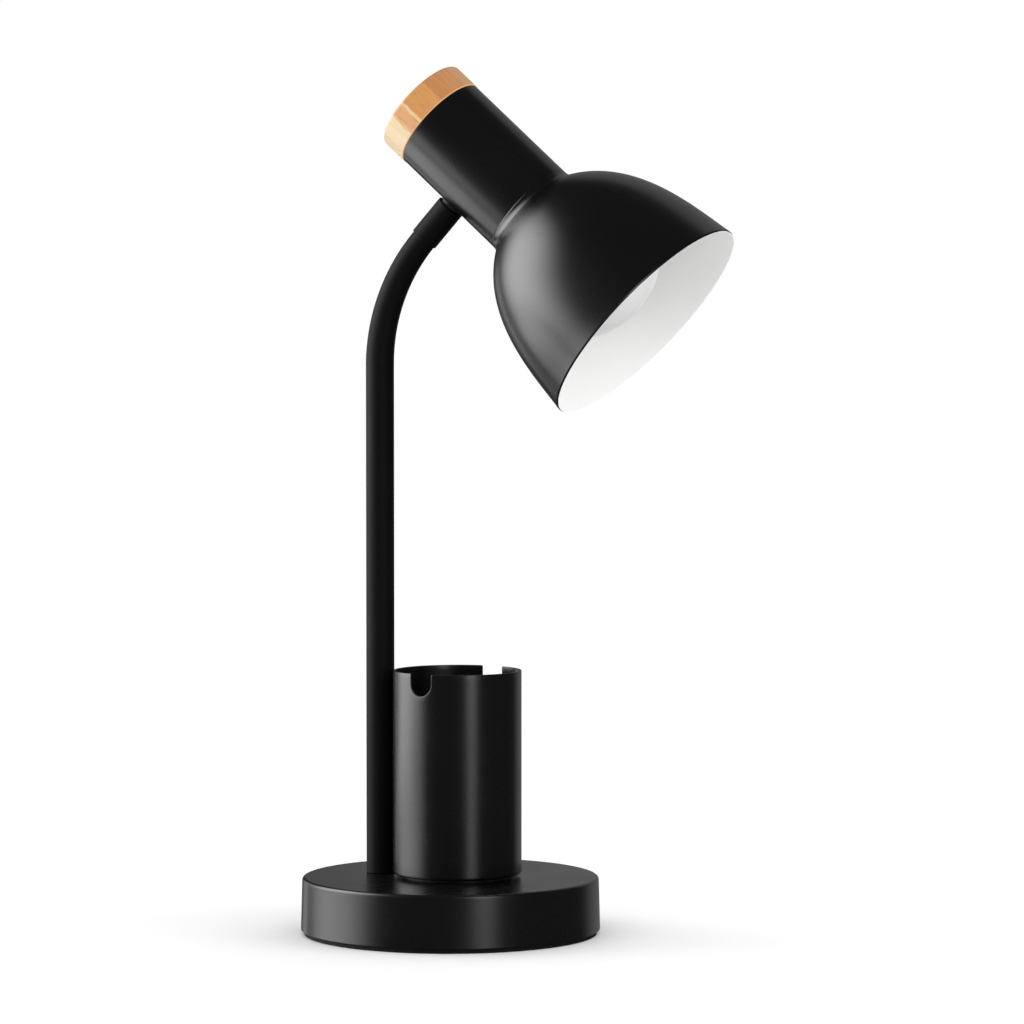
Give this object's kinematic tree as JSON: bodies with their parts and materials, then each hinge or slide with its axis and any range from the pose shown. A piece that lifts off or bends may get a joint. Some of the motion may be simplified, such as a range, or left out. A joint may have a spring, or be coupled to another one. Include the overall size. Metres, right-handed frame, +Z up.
{
  "type": "desk lamp with pen cup",
  "caption": "Desk lamp with a round weighted base, a bending neck, a bell shade with a wooden cap, and a pen cup beside the stem.",
  "frame": {"origin": "middle of the base on the table", "axes": "+Z up, +X from the stem over the pen cup towards the lamp head"},
  "size_m": [0.2211, 0.15, 0.433],
  "materials": {
    "black_paint": "satin powder coat",
    "shade_paint": "satin black outside, matt white inside",
    "sleeve": "smooth satin sleeve",
    "bamboo": "oiled bamboo, grain along the axis",
    "steel": "zinc plated",
    "hose_steel": "plain steel",
    "brass": "bright",
    "iron": "as cast",
    "black_plastic": "moulded",
    "white_plastic": "moulded",
    "opal": "opal, matt",
    "cap_metal": "nickel plated",
    "rubber": "matt",
    "lead_cover": "matt"
  },
  "bodies": {
    "base": {"base_shell": "black_paint", "counterweight": "iron", "bottom_cover": "steel", "cover_screws": "steel", "foot_pad": "rubber", "cord_grommet": "rubber", "terminal_block": "white_plastic", "lead_stem": "lead_cover", "stem_tube": "black_paint", "stem_bush": "steel", "stem_washer": "steel", "stem_nut": "steel", "pen_cup": "black_paint", "cup_spacer": "black_plastic", "cup_washer": "steel", "cup_screw": "steel", "cup_nut": "steel", "neck_bottom_fitting": "steel", "hose_core_0": "hose_steel", "hose_sleeve_0": "sleeve"},
    "neck_link_1": {"hose_core_1": "hose_steel", "hose_sleeve_1": "sleeve", "lead_neck_1": "lead_cover"},
    "neck_link_2": {"hose_core_2": "hose_steel", "hose_sleeve_2": "sleeve", "lead_neck_2": "lead_cover"},
    "neck_link_3": {"hose_core_3": "hose_steel", "hose_sleeve_3": "sleeve", "lead_neck_3": "lead_cover"},
    "neck_link_4": {"hose_core_4": "hose_steel", "hose_sleeve_4": "sleeve", "lead_neck_4": "lead_cover"},
    "neck_link_5": {"hose_core_5": "hose_steel", "hose_sleeve_5": "sleeve", "lead_neck_5": "lead_cover"},
    "neck_link_6": {"hose_core_6": "hose_steel", "hose_sleeve_6": "sleeve", "lead_neck_6": "lead_cover"},
    "head": {"neck_collar": "black_paint", "neck_top_fitting": "steel", "head_spacer": "black_plastic", "head_washer": "steel", "head_nut": "steel", "head_tube": "black_paint", "wood_cap": "bamboo", "lamp_shade": "shade_paint", "holder_plate": "steel", "plate_screws": "steel", "holder_tube": "steel", "holder_nuts": "steel", "lamp_holder": "black_plastic", "thread_shell": "brass", "centre_contact": "brass", "bulb_globe": "opal", "bulb_housing": "white_plastic", "screw_cap": "cap_metal", "cap_insulator": "black_plastic", "cap_tip": "brass", "lead_head": "lead_cover"}
  },
  "joints": [
    {"name": "neck_bend", "type": "hinge", "parent": "base", "child": "neck_link_1", "pos_m": [-0.03807, 0, 0.28942], "axis": [0, 1, 0], "range_deg": [-21.5, 11.5]},
    {"name": "neck_sway", "type": "hinge", "parent": "neck_link_1", "child": "neck_link_2", "pos_m": [-0.03704, 0, 0.29921], "axis": [0.9876, 0, -0.1568], "range_deg": [-15, 15]},
    {"name": "neck_bend_2", "type": "hinge", "parent": "neck_link_2", "child": "neck_link_3", "pos_m": [-0.03499, 0, 0.30883], "axis": [0, 1, 0], "range_deg": [-21.5, 11.5]},
    {"name": "neck_sway_2", "type": "hinge", "parent": "neck_link_3", "child": "neck_link_4", "pos_m": [-0.03194, 0, 0.31819], "axis": [0.9333, 0, -0.3592], "range_deg": [-15, 15]},
    {"name": "neck_bend_3", "type": "hinge", "parent": "neck_link_4", "child": "neck_link_5", "pos_m": [-0.02793, 0, 0.32718], "axis": [0, 1, 0], "range_deg": [-21.5, 11.5]},
    {"name": "neck_sway_3", "type": "hinge", "parent": "neck_link_5", "child": "neck_link_6", "pos_m": [-0.023, 0, 0.3357], "axis": [0.8379, 0, -0.5458], "range_deg": [-15, 15]},
    {"name": "neck_bend_4", "type": "hinge", "parent": "neck_link_6", "child": "head", "pos_m": [-0.0172, 0, 0.34365], "axis": [0, 1, 0], "range_deg": [-21.5, 11.5]}
  ]
}
